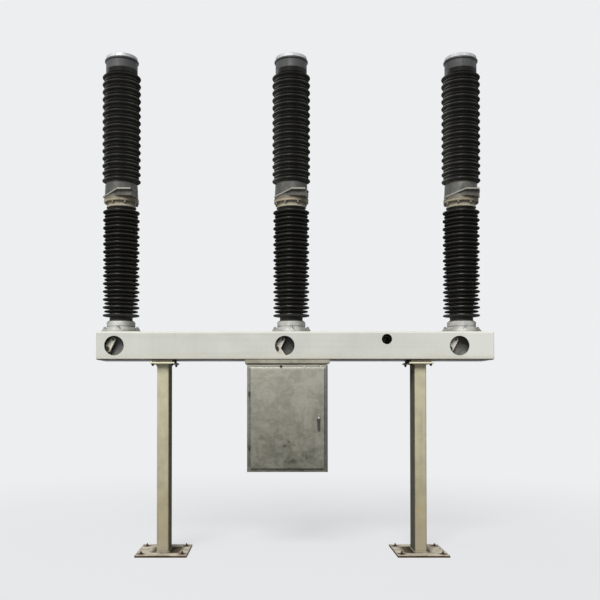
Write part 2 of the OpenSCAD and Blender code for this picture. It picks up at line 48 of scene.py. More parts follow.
# Camera
# It stands eight metres in front of the door at chest height, a little left of the
# middle pole, and looks almost level; the lens shift lifts the frame to the pole tops.
def set_up(data):
    """Makes an object of some data, under the same name, and puts it in the scene."""
    item = bpy.data.objects.new(data.name, data)
    scene.collection.objects.link(item)
    return item


camera = set_up(bpy.data.cameras.new("front_camera"))
camera.data.sensor_width = 36
camera.data.lens = 47.49
camera.data.shift_x = 0.0511
camera.data.shift_y = 0.1310
camera.location = (-0.2495, -7.8972, 1.5825)
camera.rotation_euler = (math.radians(91), 0, 0)
scene.camera = camera

# Studio
# A plain pale floor and backdrop colour, one broad soft light from the front, a tall
# narrow softbox at the left for the glaze, and even light from all round.
pale = (0.847, 0.855, 0.871)


def put(tree, kind, sockets=None, **fields):
    """Adds one shader node, sets its fields, and fills or links its input sockets."""
    item = tree.nodes.new("ShaderNode" + kind)
    for field, value in fields.items():
        setattr(item, field, value)
    for key, value in (sockets or {}).items():
        socket = item.inputs[key]
        if isinstance(value, bpy.types.NodeSocket):
            tree.links.new(value, socket)
        else:
            socket.default_value = (*value, 1) if socket.type == "RGBA" else value
    return item


def calc(operation, first, *others):
    """Math nodes in a row, each on the last result and one more value."""
    values = (first, *others)
    tree = next(value.id_data for value in values if isinstance(value, bpy.types.NodeSocket))
    for other in others or (0.0,):
        first = put(tree, "Math", {0: first, 1: other}, operation=operation).outputs[0]
    return first


def times(*values):
    """The product of some values."""
    return calc("MULTIPLY", *values)


def most(*values):
    """The largest of some values."""
    return calc("MAXIMUM", *values)


def fade(value, low, high, at_low=0.0, at_high=1.0):
    """Maps a value smoothly from one range to another."""
    sockets = {"Value": value, "From Min": low, "From Max": high,
               "To Min": at_low, "To Max": at_high}
    return put(value.id_data, "MapRange", sockets, interpolation_type="SMOOTHSTEP").outputs[0]


def length(vector):
    """How long a vector is."""
    return put(vector.id_data, "VectorMath", {0: vector}, operation="LENGTH").outputs["Value"]


def spot_on(tree):
    """Where a place lies on the part, as one vector."""
    return put(tree, "TexCoord").outputs["Object"]


def rays(tree):
    """The kinds of ray, and those that see the plain backdrop."""
    path = put(tree, "LightPath").outputs
    seeing = ("Is Camera Ray", "Is Glossy Ray", "Is Transmission Ray")
    return path, most(*[path[kind] for kind in seeing])


studio = bpy.data.worlds.new("studio")
scene.world = studio
studio.use_nodes = True
tree = studio.node_tree
tree.nodes.clear()
path, seen = rays(tree)
around = put(tree, "Background", {"Color": (0.94, 0.97, 1.0), "Strength": 0.13})
backdrop = put(tree, "Background", {"Color": pale, "Strength": 1.0})
sky = put(tree, "MixShader", {0: seen, 1: around.outputs[0], 2: backdrop.outputs[0]})
tree.links.new(sky.outputs[0], put(tree, "OutputWorld").inputs["Surface"])

floor_mesh = bpy.data.meshes.new("studio_floor")
reach, below = 60.0, 0.0005
corners = [(-reach, -reach, 0), (reach, -reach, 0), (reach, reach, 0), (-reach, reach, 0)]
floor_mesh.from_pydata(corners, [], [(0, 1, 2, 3)])
floor = set_up(floor_mesh)
floor.location.z = -below
floor_paint = bpy.data.materials.new("studio_floor")
floor_paint.use_nodes = True
tree = floor_paint.node_tree
tree.nodes.clear()
path, seen = rays(tree)
plain = fade(length(spot_on(tree)), 2.0, 9.0, 0.74, 1.0)
matt = put(tree, "BsdfDiffuse", {"Color": (0.80, 0.805, 0.82)})
grey = put(tree, "BsdfDiffuse", {"Color": (0.17, 0.17, 0.165)})
matt = put(tree, "MixShader", {0: path["Is Diffuse Ray"], 1: matt.outputs[0], 2: grey.outputs[0]})
glow = put(tree, "Emission", {"Color": pale, "Strength": 1.0})
mixed = put(tree, "MixShader", {0: times(seen, plain), 1: matt.outputs[0], 2: glow.outputs[0]})
tree.links.new(mixed.outputs[0], put(tree, "OutputMaterial").inputs["Surface"])
floor_mesh.materials.append(floor_paint)

front_light = set_up(bpy.data.lights.new("front_light", "SUN"))
front_light.data.energy = 2.95
front_light.data.angle = math.radians(30)
front_light.data.color = (1.0, 0.985, 0.95)
front_light.rotation_euler = (math.radians(52), 0, math.radians(-15))

glaze_light = set_up(bpy.data.lights.new("glaze_light", "AREA"))
glaze_light.data.shape = "RECTANGLE"
glaze_light.data.size = 1.6
glaze_light.data.size_y = 5.0
glaze_light.data.energy = 110
glaze_light.location = (-6.0, -5.2, 5.2)
pole_middle = Vector((0, 0, 3.0))
aim = pole_middle - glaze_light.location
glaze_light.rotation_euler = aim.to_track_quat("-Z", "Z").to_euler()


# Base plates
# Two flame-cut steel plates, once painted cream, that stand on the foundation. Their
# paint is worn to brown rust along the edges and round the anchor bolts, and the plate
# is darker round the foot of the leg, most on its inner side.
def plus(*values):
    """The sum of some values."""
    return calc("ADD", *values)


def minus(*values):
    """The first value less the others."""
    return calc("SUBTRACT", *values)


def tint(factor, a, b, mode="MIX"):
    """Mixes two colours by a factor."""
    sockets = {0: factor, 6: a, 7: b}
    fields = {"data_type": "RGBA", "blend_type": mode, "clamp_factor": True}
    return put(factor.id_data, "Mix", sockets, **fields).outputs[2]


def noise(vector, scale, detail=3.0, rough=0.55):
    """A cloud pattern over the surface, from 0 to 1."""
    sockets = {"Vector": vector, "Scale": scale, "Detail": detail, "Roughness": rough}
    return put(vector.id_data, "TexNoise", sockets).outputs[0]


def stretched(vector, scales):
    """The surface coordinates, stretched along the axes."""
    sockets = {0: vector, 1: scales}
    return put(vector.id_data, "VectorMath", sockets, operation="MULTIPLY").outputs[0]


def group_of(name, inputs, outputs):
    """Starts a shader node group; gives it with the sockets at its two ends."""
    tree = bpy.data.node_groups.new(name, "ShaderNodeTree")
    new_socket = tree.interface.new_socket
    for label, kind, value in inputs:
        socket = new_socket(label, in_out="INPUT", socket_type="NodeSocket" + kind)
        socket.default_value = value
    for label, kind in outputs:
        new_socket(label, in_out="OUTPUT", socket_type="NodeSocket" + kind)
    given, made = tree.nodes.new("NodeGroupInput"), tree.nodes.new("NodeGroupOutput")
    return tree, given.outputs, made.inputs


def hand_out(made, **results):
    """Links a group's results to its output sockets."""
    for label, value in results.items():
        value.id_data.links.new(value, made[label])


coat_sockets = [("Colour", "Color"), ("Roughness", "Float"), ("Height", "Float")]

# Paint that has stood outdoors: cloudy tone, rain streaks, small specks and orange peel.
aged_paint, given, made = group_of(
    "aged_paint",
    [("Paint", "Color", (0.6, 0.6, 0.5, 1)), ("Stain", "Color", (0.3, 0.25, 0.2, 1)),
     ("Stain Amount", "Float", 0.4), ("Cloud Scale", "Float", 5.0),
     ("Streak Amount", "Float", 0.4), ("Gloss Loss", "Float", 0.5)],
    coat_sockets)
tree = aged_paint
spot = spot_on(tree)
clouds = fade(noise(spot, given["Cloud Scale"], 5.0), 0.36, 0.68)
rain = noise(stretched(spot, (26, 26, 1.6)), 1.0, 4.0)
streaks = times(fade(rain, 0.48, 0.74), given["Streak Amount"])
specks = fade(noise(spot, 95.0, 2.0), 0.68, 0.76)
worn = plus(times(clouds, 0.55), streaks, times(specks, 0.5))
worn = put(tree, "Math", {0: worn, 1: given["Stain Amount"]},
           operation="MULTIPLY", use_clamp=True).outputs[0]
peel = times(noise(spot, 240.0, 2.0), 0.35)
hand_out(made, Colour=tint(worn, given["Paint"], given["Stain"]),
         Roughness=plus(times(worn, 0.3), given["Gloss Loss"]),
         Height=plus(peel, times(clouds, 0.4)))

# Rust: dark scale with orange blooms, broken by its own patches.
rust_scale, given, made = group_of(
    "rust_scale",
    [("Scale", "Float", 30.0), ("Dark", "Color", (0.035, 0.022, 0.016, 1)),
     ("Bloom", "Color", (0.19, 0.075, 0.03, 1))],
    [("Colour", "Color"), ("Patches", "Float"), ("Height", "Float")])
tree = rust_scale
spot = spot_on(tree)
grain = noise(spot, given["Scale"], 6.0, 0.65)
patches = noise(spot, times(given["Scale"], 0.35), 5.0, 0.6)
colour = tint(fade(grain, 0.38, 0.66), given["Dark"], given["Bloom"])
hand_out(made, Colour=colour, Patches=patches, Height=grain)

# Edges and corners: where a rounded edge turns away from the face, and its soft normal.
edge_turn, given, made = group_of(
    "edge_turn", [("Radius", "Float", 0.006), ("Break Scale", "Float", 35.0)],
    [("Mask", "Float"), ("Normal", "Vector")])
tree = edge_turn
soft = put(tree, "Bevel", {"Radius": given["Radius"]}, samples=6).outputs[0]
face = put(tree, "NewGeometry").outputs["Normal"]
turn = put(tree, "VectorMath", {0: soft, 1: face}, operation="DOT_PRODUCT").outputs["Value"]
broken = fade(noise(spot_on(tree), given["Break Scale"], 4.0), 0.35, 0.6)
hand_out(made, Mask=times(fade(turn, 0.995, 0.90), broken), Normal=soft)

# Dirt that settles where two pieces meet, from how closed in the place is.
corner_dirt, given, made = group_of(
    "corner_dirt", [("Reach", "Float", 0.05), ("Patch Scale", "Float", 18.0)],
    [("Mask", "Float")])
tree = corner_dirt
free = put(tree, "AmbientOcclusion", {"Distance": given["Reach"]}, samples=8).outputs["AO"]
uneven = fade(noise(spot_on(tree), given["Patch Scale"], 4.0), 0.25, 0.7, 0.35, 1.0)
hand_out(made, Mask=times(fade(free, 0.95, 0.35), uneven))


def use(tree, group, **sockets):
    """Places a node group in a material, with its own values."""
    sockets = {label.replace("_", " "): value for label, value in sockets.items()}
    return put(tree, "Group", sockets, node_tree=group).outputs


def wear_of(tree, edges, corners):
    """Worn edges, by radius and break scale, and dirt, by reach and patch scale."""
    edge = use(tree, edge_turn, Radius=edges[0], Break_Scale=edges[1])
    return edge, use(tree, corner_dirt, Reach=corners[0], Patch_Scale=corners[1])


def here(tree):
    """Where a place lies on the part: as one vector, and along x, y and z."""
    spot = spot_on(tree)
    return spot, put(tree, "SeparateXYZ", {0: spot}).outputs


def facing(tree):
    """Which way the surface faces, along x, y and z."""
    normal = put(tree, "NewGeometry").outputs["Normal"]
    return put(tree, "SeparateXYZ", {0: normal}).outputs


def finish_of(name, specular=0.5, **fixed):
    """Starts a material: gives it with its tree and its Principled node."""
    material = bpy.data.materials.new(name)
    material.use_nodes = True
    tree = material.node_tree
    tree.nodes.clear()
    fixed = {label.replace("_", " "): value for label, value in fixed.items()}
    surface = put(tree, "BsdfPrincipled", {"Specular IOR Level": specular, **fixed})
    tree.links.new(surface.outputs[0], put(tree, "OutputMaterial").inputs["Surface"])
    return material, tree, surface


def cover(surface, colour, coat, strength, depth, edge=None):
    """Gives a surface its colour and a coat's roughness and bumps, over softened edges."""
    tree = surface.id_data
    sockets = {"Height": coat["Height"], "Strength": strength, "Distance": depth}
    if edge is not None:
        sockets["Normal"] = edge["Normal"]
    tree.links.new(put(tree, "Bump", sockets).outputs[0], surface.inputs["Normal"])
    tree.links.new(colour, surface.inputs["Base Color"])
    if "Roughness" in coat:
        tree.links.new(coat["Roughness"], surface.inputs["Roughness"])


def dress(material, *names):
    """Gives solids of the frame their finish."""
    for name in names:
        for place in solids[name].material_slots:
            place.material = material


plate_finish, tree, surface = finish_of("worn_plate_paint", specular=0.12)
paint = use(tree, aged_paint, Paint=(0.72, 0.67, 0.55), Stain=(0.19, 0.125, 0.075),
            Stain_Amount=0.85, Cloud_Scale=9.0, Streak_Amount=0.0, Gloss_Loss=0.6)
rust = use(tree, rust_scale, Scale=60.0, Dark=(0.012, 0.009, 0.007), Bloom=(0.115, 0.048, 0.021))
edge, dirt = wear_of(tree, (0.012, 28.0), (0.13, 12.0))
place = here(tree)[1]
plate_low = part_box("base_plate_left")[0]
right_low, right_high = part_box("base_plate_right")
middle_x = (plate_low.x + right_high.x) / 2
leg_half_pitch = (right_low.x + right_high.x) / 2 - middle_x
anchor_half = 0.2
from_middle = calc("ABSOLUTE", minus(place["X"], middle_x))
inward = minus(leg_half_pitch, from_middle)
aside = calc("ABSOLUTE", inward)
deep = calc("ABSOLUTE", place["Y"])
to_anchor = {0: minus(aside, anchor_half), 1: minus(deep, anchor_half)}
ring = length(put(tree, "CombineXYZ", to_anchor).outputs[0])
ring = fade(plus(ring, times(rust["Patches"], 0.05)), 0.085, 0.045)
ragged = times(rust["Patches"], 0.10)
from_leg = plus(aside, ragged)
inward = plus(inward, ragged)
# The plate is made darker beside the leg, most on its inner side and darkest close to it.
dark_inside_leg = times(fade(inward, 0.0, 0.04), fade(inward, 0.26, 0.19), fade(deep, 0.20, 0.13))
dark_round_leg_foot = times(fade(from_leg, 0.20, 0.13, 0.0, 0.85), fade(deep, 0.17, 0.11))
flank = times(fade(facing(tree)["Z"], 0.8, 0.3), 0.92)
patch = times(fade(rust["Patches"], 0.59, 0.68), 0.85)
bare = most(edge["Mask"], ring, flank, patch)
colour = tint(bare, paint["Colour"], rust["Colour"])
darkened = times(most(dark_inside_leg, dark_round_leg_foot), 0.93)
darkened = most(times(dirt["Mask"], 0.9), darkened)
colour = tint(darkened, colour, (0.062, 0.040, 0.017))
black = times(darkened, fade(from_leg, 0.19, 0.12, 0.0, 0.85))
colour = tint(black, colour, (0.018, 0.012, 0.006))
rough = most(plus(times(bare, 0.25), 0.62), darkened)
height = plus(paint["Height"], times(rust["Height"], bare))
cover(surface, colour, dict(Roughness=rough, Height=height), 0.5, 0.0015, edge)
dress(plate_finish, "base_plate_left", "base_plate_right")

# Anchor studs
# Foundation bolts of plain steel in the corners of each plate, with a washer and one
# nut each, left unpainted and gone dark with rust.
ENDS = ("left", "right")
UP, DOWN, FRONT = (0, 0, 1), (0, 0, -1), (0, -1, 0)


def turned(bm, at, axis, profile, sides=24, turn=0.0):
    """A closed turned body: (radius, height) pairs round an axis."""
    place = Matrix.Translation(at) @ Vector(axis).to_track_quat("Z", "Y").to_matrix().to_4x4()
    rings = []
    for radius, height in profile:
        angles = [turn + math.tau * i / sides for i in range(sides if radius else 1)]
        ring = [Vector((radius * math.cos(a), radius * math.sin(a), height)) for a in angles]
        rings.append([bm.verts.new(place @ corner) for corner in ring])
    for low, high in zip(rings, rings[1:]):
        for i in range(sides):
            j = (i + 1) % sides
            if len(low) == 1:
                bm.faces.new((low[0], high[j], high[i]))
            elif len(high) == 1:
                bm.faces.new((low[i], low[j], high[0]))
            else:
                bm.faces.new((low[i], low[j], high[j], high[i]))


def washer(bm, at, axis, radius, thick):
    """A flat washer with broken edges."""
    rim = [(radius, 0), (radius, thick * 0.7), (radius - thick * 0.3, thick)]
    turned(bm, at, axis, [(0, 0), *rim, (0, thick)], 32)


def hexagon(bm, at, axis, flats, tall, turn=0.0):
    """A nut or bolt head with chamfered corners."""
    corner = flats / math.sqrt(3)
    rim = [(corner * 0.96, 0), (corner, tall * 0.1), (corner, tall * 0.84), (corner * 0.88, tall)]
    turned(bm, at, axis, [(0, 0), *rim, (0, tall)], 6, turn)


def stud_end(bm, at, axis, radius, tall, pitch=0.003):
    """The threaded end of a stud that stands out of its nut."""
    root = radius * 0.9
    profile = [(0, 0)]
    for i in range(max(1, int(tall / pitch))):
        profile += [(radius, i * pitch), (root, (i + 0.5) * pitch)]
    profile += [(root, tall - 0.001), (radius * 0.75, tall), (0, tall)]
    turned(bm, at, axis, profile, 20)


def bolt(bm, at, axis, flats, washer_radius, proud=0.0, turn=0.0):
    """Washer, hexagon and, where it is a nut, the stud end above it."""
    at, axis = Vector(at), Vector(axis).normalized()
    thick, tall = washer_radius * 0.16, flats * 0.62
    washer(bm, at, axis, washer_radius, thick)
    hexagon(bm, at + axis * thick * 0.9, axis, flats, tall, turn)
    if proud:
        stud_end(bm, at + axis * (thick * 0.9 + tall * 0.95), axis, flats * 0.31, proud)


def piece(name, bm, material, body, crease=32):
    """Turns a built mesh into a piece that rides on a body of the frame."""
    bmesh.ops.recalc_face_normals(bm, faces=bm.faces)
    mesh = bpy.data.meshes.new(name)
    bm.to_mesh(mesh)
    bm.free()
    mesh.shade_smooth()
    mesh.set_sharp_from_angle(angle=math.radians(crease))
    mesh.materials.append(material)
    made_piece = set_up(mesh)
    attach(made_piece, body)


rusty_steel, tree, surface = finish_of("rusty_steel", Metallic=0.25, specular=0.35)
rust = use(tree, rust_scale, Scale=160.0, Dark=(0.016, 0.013, 0.011), Bloom=(0.07, 0.035, 0.02))
rough = fade(rust["Patches"], 0.3, 0.7, 0.55, 0.85)
cover(surface, rust["Colour"], dict(Roughness=rough, Height=rust["Height"]), 0.5, 0.0008)

# Each kind of bolt has its width across the flats, its washer's radius and its stud end.
anchor_nut = (0.021, 0.017, 0.013)
for end in ENDS:
    low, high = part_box(f"base_plate_{end}")
    plate_x = (low.x + high.x) / 2
    bm = bmesh.new()
    for i, (sx, sy) in enumerate(((-1, -1), (1, -1), (1, 1), (-1, 1))):
        at = (plate_x + sx * anchor_half, sy * anchor_half, high.z)
        bolt(bm, at, UP, *anchor_nut, turn=0.3 + i * 0.7)
    piece(f"anchor_studs_{end}", bm, rusty_steel, "stand")

# Legs
# Two rectangular steel tubes, welded to their base plate and to a head plate, painted
# beige. Rust creeps up from the foot weld. The inner sides are painted dark as painted
# shade, the right leg's darker than the left's, and the top under the head plate is
# painted light over its shadow.
leg_finish, tree, surface = finish_of("leg_paint", specular=0.15)
spot, place = here(tree)
rise = place["Z"]
paint = use(tree, aged_paint, Paint=(0.585, 0.553, 0.397), Stain=(0.300, 0.283, 0.207),
            Stain_Amount=0.55, Cloud_Scale=7.0, Streak_Amount=0.5, Gloss_Loss=0.48)
rust = use(tree, rust_scale, Scale=70.0)
edge, dirt = wear_of(tree, (0.005, 30.0), (0.045, 20.0))
foot = fade(plus(rise, times(rust["Patches"], 0.35)), 0.62, 0.16)
rusty_wash = times(fade(rise, 0.75, 0.45), fade(rust["Patches"], 0.42, 0.6, 0.0, 0.5))
colour = tint(fade(rise, 1.8, 0.1), paint["Colour"], (0.70, 0.68, 0.66), "MULTIPLY")
colour = tint(rusty_wash, colour, (0.46, 0.355, 0.19))
colour = tint(times(foot, 0.65), colour, (0.33, 0.295, 0.235))
colour = tint(times(edge["Mask"], 0.45), colour, (0.27, 0.27, 0.21))
chips = times(foot, fade(rust["Patches"], 0.62, 0.72, 0.0, 0.5))
edge_chips = times(edge["Mask"], fade(rise, 1.2, 0.1, 0.0, 0.6))
colour = tint(most(chips, edge_chips), colour, rust["Colour"])
leg_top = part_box("leg_left")[1].z
# Painted light: the top of the leg under the head plate is painted lighter over its shadow.
painted_light_under_head = fade(rise, leg_top - 0.12, leg_top - 0.05, 0.0, 0.8)
colour = tint(painted_light_under_head, colour, (0.95, 0.91, 0.71))
# Painted shade: the inner sides are painted dark, mottled a little, the right leg's darker.
turned_to = facing(tree)["X"]
inner = fade(times(place["X"], turned_to), -0.5, -1.1)
shade_mottle = fade(noise(spot, 6.0, 5.0), 0.25, 0.7, 0.84, 0.97)
shade = tint(fade(turned_to, -0.5, 0.5), (0.115, 0.113, 0.086), (0.300, 0.292, 0.222))
colour = tint(times(inner, shade_mottle), colour, shade)
grime = times(dirt["Mask"], fade(rise, 0.9, 0.4, 0.15, 0.8))
colour = tint(grime, colour, (0.035, 0.026, 0.018))
rough = most(paint["Roughness"], inner)
cover(surface, colour, dict(Roughness=rough, Height=paint["Height"]), 0.3, 0.0008, edge)
dress(leg_finish, "leg_left", "leg_right")


def bead(bm, path, size):
    """A rippled fillet weld along a closed path of (point, outward, up) steps."""
    section = ((-0.1, -0.1), (1.0, -0.1), (0.82, 0.32), (0.52, 0.62), (0.3, 0.86), (-0.1, 1.0))
    rings = []
    for i, (point, outward, up) in enumerate(path):
        s = size * (1 + 0.13 * math.sin(i * 1.9) + 0.07 * math.sin(i * 0.61 + 1.0))
        point, outward, up = Vector(point), Vector(outward), Vector(up)
        rings.append([bm.verts.new(point + outward * s * u + up * s * v) for u, v in section])
    for a, b in zip(rings, rings[1:] + rings[:1]):
        for i in range(len(a)):
            j = (i + 1) % len(a)
            bm.faces.new((a[i], a[j], b[j], b[i]))


def round_path(width, depth, corner, step, turns=7):
    """Steps round a rounded rectangle about the origin: (x, y, outward x, outward y)."""
    steps = []
    for quarter, (cx, cy) in enumerate(((1, 1), (-1, 1), (-1, -1), (1, -1))):
        mid = Vector((cx * (width / 2 - corner), cy * (depth / 2 - corner)))
        for k in range(turns):
            a = math.radians(90 * quarter + 90 * k / (turns - 1))
            out = Vector((math.cos(a), math.sin(a)))
            steps.append((*(mid + out * corner), *out))
        run = depth - 2 * corner if quarter % 2 else width - 2 * corner
        ahead = math.radians(90 * quarter + 180)
        way = Vector((math.cos(ahead), math.sin(ahead)))
        start = Vector(steps[-1][:2])
        count = int(run / step)
        for k in range(1, count):
            steps.append((*(start + way * run * k / count), *steps[-1][2:]))
    return steps


leg_width, leg_depth, leg_corner = 0.118, 0.262, 0.014
head_plate_t, packing_t = 0.014, 0.022
weld_step, foot_weld, head_weld = 0.006, 0.010, 0.008
for end in ENDS:
    low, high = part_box(f"leg_{end}")
    leg_x = (low.x + high.x) / 2
    head_z = high.z - head_plate_t - packing_t
    bm = bmesh.new()
    walk = round_path(leg_width, leg_depth, leg_corner, weld_step)
    for z, up, size in ((low.z, UP, foot_weld), (head_z, DOWN, head_weld)):
        bead(bm, [((leg_x + x, y, z), (ox, oy, 0), up) for x, y, ox, oy in walk], size)
    piece(f"leg_welds_{end}", bm, leg_finish, "stand", crease=50)

# Head plate bolts
# Four galvanised bolts a leg hold the head plate and its packing to the beam; their
# nuts and stud ends hang below the plate at its corners and have rusted.
plate_nut, plate_nut_x, plate_nut_y = (0.024, 0.0185, 0.008), 0.094, 0.176
for end in ENDS:
    low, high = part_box(f"leg_{end}")
    leg_x = (low.x + high.x) / 2
    head_z = high.z - head_plate_t - packing_t
    bm = bmesh.new()
    for sx in (-1, 1):
        for sy in (-1, 1):
            at = (leg_x + sx * plate_nut_x, sy * plate_nut_y, head_z)
            bolt(bm, at, DOWN, *plate_nut, turn=0.4 * sx)
    piece(f"head_plate_bolts_{end}", bm, rusty_steel, "stand")


# Beam
# Two folded steel channels with flat plates and end plates welded between them, painted
# off-white; rain has left faint streaks and a warmer lower edge.
def weathered(colour, edge, rubbed_and_lit, dirt, grimy):
    """Lays rubbed edges with a painted highlight, then corner dirt, over a colour: each a share and a
    tone.
    """
    for effect, (share, tone) in ((edge, rubbed_and_lit), (dirt, grimy)):
        colour = tint(times(effect["Mask"], share), colour, tone)
    return colour


beam_finish, tree, surface = finish_of("beam_paint", specular=0.12)
spot, place = here(tree)
paint = use(tree, aged_paint, Paint=(0.677, 0.697, 0.657), Stain=(0.48, 0.48, 0.43),
            Stain_Amount=0.50, Cloud_Scale=3.2, Streak_Amount=0.22, Gloss_Loss=0.42)
edge, dirt = wear_of(tree, (0.004, 18.0), (0.05, 14.0))
beam_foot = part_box("beam_bottom")[0].z
warm = plus(place["Z"], times(noise(spot, 9.0, 4.0), 0.10))
warm = fade(warm, beam_foot + 0.125, beam_foot + 0.045)
# The paint is made paler towards the right end.
paler_right = plus(fade(place["X"], 0.7, 1.2, 0.0, 0.3), fade(place["X"], 1.60, 1.72, 0.0, 0.5))
colour = tint(paler_right, paint["Colour"], (0.80, 0.81, 0.775))
colour = tint(times(warm, 0.40), colour, (0.64, 0.585, 0.45))
colour = weathered(colour, edge, (0.35, (0.80, 0.79, 0.72)), dirt, (0.6, (0.10, 0.085, 0.06)))
rolled = noise(stretched(spot, (0.5, 1.0, 34.0)), 1.0, 3.0)
colour = tint(fade(rolled, 0.50, 0.72, 0.0, 0.22), colour, (0.50, 0.49, 0.43))
# Painted light and shade: the top bend and the lower bend are painted lighter, and the underside is
# painted dark.
upward = facing(tree)["Z"]
lit_top_bend = ((0.10, 0.45, 0.0, 0.6), (0.80, 0.79, 0.73))
lit_lower_bend = ((-0.04, -0.35, 0.0, 0.8), (0.95, 0.92, 0.83))
shaded_underside = ((-0.50, -0.80, 0.0, 0.95), (0.026, 0.024, 0.020))
for span, tone in (lit_top_bend, lit_lower_bend, shaded_underside):
    colour = tint(fade(upward, *span), colour, tone)
cover(surface, colour, paint, 0.3, 0.001, edge)
dress(beam_finish, "beam_front", "beam_rear", "beam_top", "beam_bottom",
      "beam_end_left", "beam_end_right")

end_corner, end_weld, weld_sink = 0.012, 0.007, 0.003
for end, sign in (("left", -1), ("right", 1)):
    low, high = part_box(f"beam_end_{end}")
    weld_x = (low.x if sign < 0 else high.x) - sign * weld_sink
    mid_z = (low.z + high.z) / 2
    bm = bmesh.new()
    walk = round_path(high.y - low.y, high.z - low.z, end_corner, weld_step)
    path = [((weld_x, x, mid_z + y), (0, -ox, -oy), (sign, 0, 0)) for x, y, ox, oy in walk]
    bead(bm, path, end_weld)
    piece(f"beam_end_weld_{end}", bm, beam_finish, "stand", crease=50)

# Gear cases
# Grey iron castings bolted up inside the beam, one under each pole, each with a
# bearing boss for its crank shaft and a bolted front cover; the middle one is darker.
SIDES = ("left", "middle", "right")


def trio(name):
    """The names of one solid at each of the three poles."""
    return [f"{name}_{side}" for side in SIDES]


cast_surface, given, made = group_of(
    "cast_surface",
    [("Light", "Color", (0.5, 0.5, 0.5, 1)), ("Dull", "Color", (0.3, 0.3, 0.3, 1)),
     ("Grain Scale", "Float", 220.0)],
    coat_sockets)
tree = cast_surface
spot = spot_on(tree)
grain = noise(spot, given["Grain Scale"], 3.0)
clouds = fade(noise(spot, 12.0, 5.0), 0.34, 0.68)
hand_out(made, Colour=tint(clouds, given["Light"], given["Dull"]),
         Roughness=fade(clouds, 0.0, 1.0, 0.44, 0.66),
         Height=plus(grain, times(clouds, 0.5)))

case_finish, tree, surface = finish_of("cast_iron", specular=0.4)
cast = use(tree, cast_surface, Light=(0.22, 0.225, 0.215), Dull=(0.13, 0.13, 0.125),
           Grain_Scale=160.0)
edge, dirt = wear_of(tree, (0.006, 20.0), (0.06, 15.0))
case_low, case_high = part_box("gear_case_middle")
aside = minus(here(tree)[1]["X"], (case_low.x + case_high.x) / 2)
middle_darker = fade(calc("ABSOLUTE", aside), 0.6, 0.4, 0.0, 0.85)
colour = tint(middle_darker, cast["Colour"], (0.42, 0.42, 0.40), "MULTIPLY")
colour = tint(times(dirt["Mask"], 0.7), colour, (0.02, 0.018, 0.015))
cover(surface, colour, cast, 0.5, 0.001, edge)
dress(case_finish, *trio("gear_case"))

zinc, tree, surface = finish_of("dull_zinc")
bloom = noise(spot_on(tree), 70.0, 4.0)
rust = use(tree, rust_scale, Scale=120.0)
colour = tint(fade(bloom, 0.35, 0.7), (0.30, 0.31, 0.31), (0.16, 0.16, 0.155))
colour = tint(fade(rust["Patches"], 0.58, 0.7, 0.0, 0.7), colour, rust["Colour"])
tree.links.new(fade(bloom, 0.3, 0.7, 0.7, 0.35), surface.inputs["Metallic"])
coat = dict(Roughness=fade(bloom, 0.3, 0.7, 0.42, 0.6), Height=bloom)
cover(surface, colour, coat, 0.25, 0.0006)

boss_length = 0.036
case_bolt, inset_x, inset_z = (0.019, 0.0135), 0.022, 0.035
for side in SIDES:
    low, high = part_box(f"gear_case_{side}")
    front_y = low.y + boss_length
    bm = bmesh.new()
    for x in (low.x + inset_x, high.x - inset_x):
        for z in (high.z - inset_z, low.z + inset_z):
            bolt(bm, (x, front_y, z), FRONT, *case_bolt)
    piece(f"gear_case_bolts_{side}", bm, zinc, "stand")

# Cranks
# Flat forged levers keyed to the shafts that turn the poles' drive; painted as the
# beam, with a dark nut on each shaft end and dark pins in the lever eyes.
crank_finish, tree, surface = finish_of("crank_paint", specular=0.35)
paint = use(tree, aged_paint, Paint=(0.74, 0.70, 0.60), Stain=(0.38, 0.32, 0.235),
            Stain_Amount=0.4, Cloud_Scale=16.0, Streak_Amount=0.3, Gloss_Loss=0.45)
edge = use(tree, edge_turn, Radius=0.004, Break_Scale=40.0)
crank_low, crank_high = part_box("crank_left")
# Painted light: the crank is painted lighter towards its top, over the shade of the beam's hole.
painted_light_up_top = fade(here(tree)[1]["Z"], crank_low.z + 0.03, crank_high.z - 0.04, 0.0, 0.9)
colour = tint(painted_light_up_top, paint["Colour"], (0.94, 0.91, 0.83))
colour = tint(times(edge["Mask"], 0.5), colour, (0.16, 0.11, 0.07))
cover(surface, colour, paint, 0.4, 0.001, edge)
dress(crank_finish, *trio("crank"))


def mottled(name, scale, detail, until, tones, dull, bumps, **fixed):
    """A two-toned finish for small things: one cloud pattern drives all of it."""
    material, tree, surface = finish_of(name, **fixed)
    cloud = noise(spot_on(tree), scale, detail)
    colour = tint(fade(cloud, 0.35, until), *tones)
    coat = dict(Roughness=fade(cloud, 0.3, 0.7, *dull), Height=cloud)
    cover(surface, colour, coat, *bumps)
    return material


dark_steel = mottled(
    "dark_steel", 60.0, 4.0, 0.65, ((0.055, 0.052, 0.048), (0.022, 0.02, 0.018)),
    (0.35, 0.6), (0.2, 0.0006), Metallic=0.5, specular=0.4)

